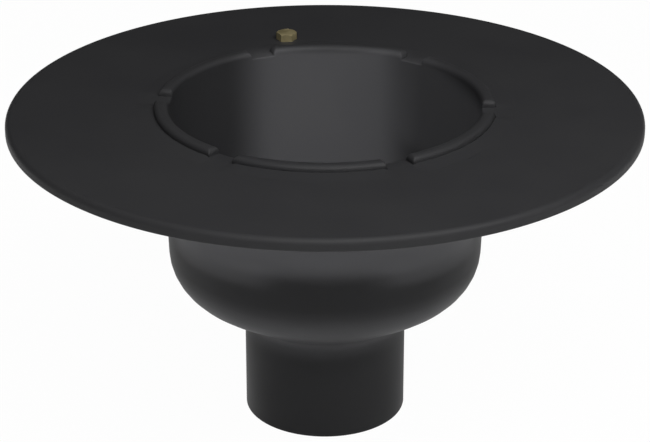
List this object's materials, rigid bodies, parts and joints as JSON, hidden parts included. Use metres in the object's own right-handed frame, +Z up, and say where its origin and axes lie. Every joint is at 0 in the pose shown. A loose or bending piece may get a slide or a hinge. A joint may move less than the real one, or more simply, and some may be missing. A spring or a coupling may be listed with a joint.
{
  "type": "floor drain body",
  "caption": "Black cast-iron floor drain body with a wide round flange, segmented throat collar, deep bowl, vertical pipe spigot and a brass earthing screw.",
  "frame": {"origin": "centre of the spigot's lower end, where the part stands", "axes": "+Z up along the drain's axis, +Y away from the viewer of the picture, the screw stands on the +Y side"},
  "size_m": [0.422, 0.422, 0.2253],
  "materials": {
    "coated_casting": "satin black coating over a cast skin",
    "brass": "plain machined brass, slightly dulled"
  },
  "bodies": {
    "root": {"drain_body": "coated_casting", "earthing_screw": "brass"}
  },
  "joints": []
}
